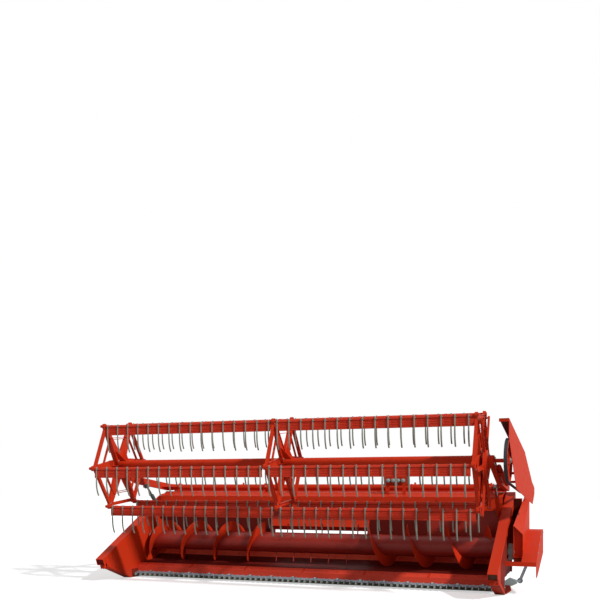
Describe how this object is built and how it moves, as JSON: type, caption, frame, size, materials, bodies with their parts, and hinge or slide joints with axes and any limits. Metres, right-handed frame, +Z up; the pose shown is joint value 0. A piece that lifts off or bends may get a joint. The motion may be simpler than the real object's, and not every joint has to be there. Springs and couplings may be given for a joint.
{
  "type": "combine harvester grain header",
  "caption": "Cutting platform of a combine harvester: knife, cross auger in a trough, end dividers and a tined reel on two hydraulically lifted arms, driven by a belt",
  "frame": {"origin": "middle of the feeder opening in the rear face of the feeder frame, which is also the centre of its four bolt holes", "axes": "X along the header to the drive end, Y to the rear, Z up"},
  "size_m": [5.5375, 2.2737, 2.1388],
  "materials": {
    "red_paint": "semi-gloss",
    "bare_steel": "satin",
    "grey_paint": "satin",
    "belt_rubber": "matt"
  },
  "bodies": {
    "platform": {"floor_pan": "red_paint", "pan_ribs": "red_paint", "rear_wall": "red_paint", "wall_ribs": "red_paint", "top_box": "red_paint", "lower_beam": "red_paint", "feeder_frame": "red_paint", "opening_hood": "red_paint", "left_end_sheet": "red_paint", "right_end_sheet": "red_paint", "left_divider": "red_paint", "right_divider": "red_paint", "cutterbar": "bare_steel", "skid_shoes": "red_paint", "auger_bearings": "red_paint", "pivot_brackets": "red_paint", "coupler_bracket": "red_paint", "couplers": "grey_paint", "shaft_bearings": "red_paint", "drive_guard": "red_paint", "drive_housing": "red_paint", "knife_gearbox": "bare_steel"},
    "auger": {"auger_tube": "red_paint", "auger_flights": "red_paint", "auger_fingers": "red_paint"},
    "knife": {"knife": "bare_steel", "knife_link": "bare_steel"},
    "knife_lever": {"knife_lever": "bare_steel"},
    "drive_shaft": {"back_shaft": "grey_paint"},
    "reel_arms": {"lift_frame": "red_paint", "reel_shield": "red_paint", "reel_belt": "belt_rubber"},
    "reel": {"reel_frame": "red_paint", "reel_pulley": "red_paint"},
    "control_spider": {"control_spider": "red_paint"},
    "drive_pulley": {"drive_pulley": "red_paint"},
    "left_barrel": {"left_lift_barrel": "grey_paint"},
    "left_rod": {"left_lift_rod": "bare_steel"},
    "right_barrel": {"right_lift_barrel": "grey_paint"},
    "right_rod": {"right_lift_rod": "bare_steel"},
    "bat_1": {"bat_1": "red_paint"},
    "bat_2": {"bat_2": "red_paint"},
    "bat_3": {"bat_3": "red_paint"},
    "bat_4": {"bat_4": "red_paint"},
    "bat_5": {"bat_5": "red_paint"},
    "bat_6": {"bat_6": "red_paint"}
  },
  "joints": [
    {"name": "auger_spin", "type": "hinge", "parent": "platform", "child": "auger", "pos_m": [0, -0.42, 0], "axis": [1, 0, 0], "continuous": true},
    {"name": "knife_stroke", "type": "slide", "parent": "platform", "child": "knife", "axis": [1, 0, 0], "range_m": [-0.0381, 0.0381]},
    {"name": "lever_swing", "type": "hinge", "parent": "platform", "child": "knife_lever", "pos_m": [2.84, -0.844, -0.125], "axis": [0, 1, 0], "range_deg": [-9.84, 9.84]},
    {"name": "shaft_spin", "type": "hinge", "parent": "platform", "child": "drive_shaft", "pos_m": [1.6, -0.04, 0.395], "axis": [1, 0, 0], "continuous": true},
    {"name": "reel_lift", "type": "hinge", "parent": "platform", "child": "reel_arms", "pos_m": [0, 0.08, 0.75], "axis": [-1, 0, 0], "range_deg": [-17, 20]},
    {"name": "reel_spin", "type": "hinge", "parent": "reel_arms", "child": "reel", "pos_m": [0, -1.42, 1.05], "axis": [1, 0, 0], "continuous": true},
    {"name": "control_spin", "type": "hinge", "parent": "reel_arms", "child": "control_spider", "pos_m": [2.43, -1.42, 1], "axis": [1, 0, 0], "continuous": true},
    {"name": "pulley_spin", "type": "hinge", "parent": "platform", "child": "drive_pulley", "pos_m": [2.68, 0.08, 0.75], "axis": [1, 0, 0], "continuous": true},
    {"name": "bat_1_swing", "type": "hinge", "parent": "reel", "child": "bat_1", "pos_m": [0, -2.0197, 0.98697], "axis": [1, 0, 0], "continuous": true},
    {"name": "bat_2_swing", "type": "hinge", "parent": "reel", "child": "bat_2", "pos_m": [0, -1.77443, 1.53784], "axis": [1, 0, 0], "continuous": true},
    {"name": "bat_3_swing", "type": "hinge", "parent": "reel", "child": "bat_3", "pos_m": [0, -1.17474, 1.60087], "axis": [1, 0, 0], "continuous": true},
    {"name": "bat_4_swing", "type": "hinge", "parent": "reel", "child": "bat_4", "pos_m": [0, -0.8203, 1.11303], "axis": [1, 0, 0], "continuous": true},
    {"name": "bat_5_swing", "type": "hinge", "parent": "reel", "child": "bat_5", "pos_m": [0, -1.06557, 0.56216], "axis": [1, 0, 0], "continuous": true},
    {"name": "bat_6_swing", "type": "hinge", "parent": "reel", "child": "bat_6", "pos_m": [0, -1.66526, 0.49913], "axis": [1, 0, 0], "continuous": true},
    {"name": "left_barrel_swing", "type": "hinge", "parent": "platform", "child": "left_barrel", "pos_m": [-2.44, -0.195, 0.345], "axis": [-1, 0, 0], "range_deg": [-14.62, 17.19]},
    {"name": "left_rod_slide", "type": "slide", "parent": "left_barrel", "child": "left_rod", "axis": [0, -0.7211, 0.6929], "range_m": [-0.1418, 0.1668]},
    {"name": "right_barrel_swing", "type": "hinge", "parent": "platform", "child": "right_barrel", "pos_m": [2.44, -0.195, 0.345], "axis": [-1, 0, 0], "range_deg": [-14.62, 17.19]},
    {"name": "right_rod_slide", "type": "slide", "parent": "right_barrel", "child": "right_rod", "axis": [0, -0.7211, 0.6929], "range_m": [-0.1418, 0.1668]}
  ],
  "couplings": [
    {"joint": "lever_swing", "follows": "knife_stroke", "rad_per_m": -4.4843},
    {"joint": "shaft_spin", "follows": "auger_spin", "ratio": 3},
    {"joint": "control_spin", "follows": "reel_spin", "ratio": 1},
    {"joint": "pulley_spin", "follows": "reel_spin", "ratio": 3.125},
    {"joint": "bat_1_swing", "follows": "reel_spin", "ratio": -1},
    {"joint": "bat_2_swing", "follows": "reel_spin", "ratio": -1},
    {"joint": "bat_3_swing", "follows": "reel_spin", "ratio": -1},
    {"joint": "bat_4_swing", "follows": "reel_spin", "ratio": -1},
    {"joint": "bat_5_swing", "follows": "reel_spin", "ratio": -1},
    {"joint": "bat_6_swing", "follows": "reel_spin", "ratio": -1},
    {"joint": "left_barrel_swing", "follows": "reel_lift", "ratio": 0.857},
    {"joint": "left_rod_slide", "follows": "reel_lift", "m_per_rad": 0.47637},
    {"joint": "right_barrel_swing", "follows": "reel_lift", "ratio": 0.857},
    {"joint": "right_rod_slide", "follows": "reel_lift", "m_per_rad": 0.47637}
  ]
}
